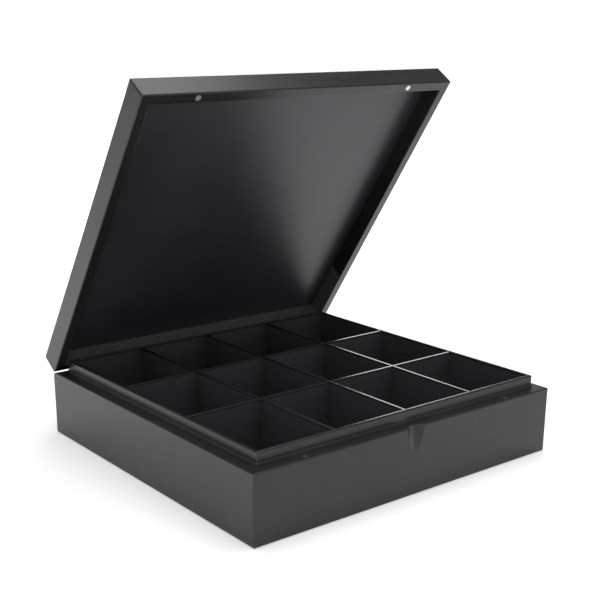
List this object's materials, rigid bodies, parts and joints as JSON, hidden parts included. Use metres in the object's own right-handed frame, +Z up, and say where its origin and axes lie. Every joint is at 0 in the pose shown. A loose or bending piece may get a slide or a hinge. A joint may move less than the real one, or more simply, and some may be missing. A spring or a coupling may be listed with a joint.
{
  "type": "tea bag organizer box",
  "caption": "Low rectangular lacquered box for tea bags with a grid of compartments, a raised inner rim and a hinged lid held by magnets.",
  "frame": {"origin": "centre of the flat underside of the case", "axes": "+X to the right seen from the front, +Y to the hinge side, +Z up"},
  "size_m": [0.335, 0.3357, 0.3366],
  "materials": {
    "black_lacquer": "satin black lacquer over bamboo, fine straight grain",
    "tray_lacquer": "satin black lacquer on thin boards",
    "magnet_nickel": "nickel-plated magnet, slightly scuffed",
    "catch_plate": "darkened steel",
    "hinge_steel": "zinc-plated steel",
    "screw_steel": "bright steel"
  },
  "bodies": {
    "case": {"base_front_board": "black_lacquer", "base_rear_board": "black_lacquer", "base_left_board": "black_lacquer", "base_right_board": "black_lacquer", "floor_panel": "tray_lacquer", "front_liner": "tray_lacquer", "rear_liner": "tray_lacquer", "left_liner": "tray_lacquer", "right_liner": "tray_lacquer", "column_divider_left": "tray_lacquer", "column_divider_middle": "tray_lacquer", "column_divider_right": "tray_lacquer", "row_divider_front": "tray_lacquer", "row_divider_rear": "tray_lacquer", "base_magnet_left": "catch_plate", "base_magnet_right": "catch_plate", "left_hinge_base_leaf": "hinge_steel", "right_hinge_base_leaf": "hinge_steel", "left_hinge_pin": "hinge_steel", "right_hinge_pin": "hinge_steel", "base_leaf_screws": "screw_steel"},
    "lid": {"lid_panel": "black_lacquer", "lid_front_rail": "black_lacquer", "lid_rear_rail": "black_lacquer", "lid_left_rail": "black_lacquer", "lid_right_rail": "black_lacquer", "lid_magnet_left": "magnet_nickel", "lid_magnet_right": "magnet_nickel", "left_hinge_lid_leaf": "hinge_steel", "right_hinge_lid_leaf": "hinge_steel", "lid_leaf_screws": "screw_steel"}
  },
  "joints": [
    {"name": "lid_hinge", "type": "hinge", "parent": "case", "child": "lid", "pos_m": [0, 0.1575, 0.06235], "axis": [-1, 0, 0], "range_deg": [-56, 44]}
  ]
}
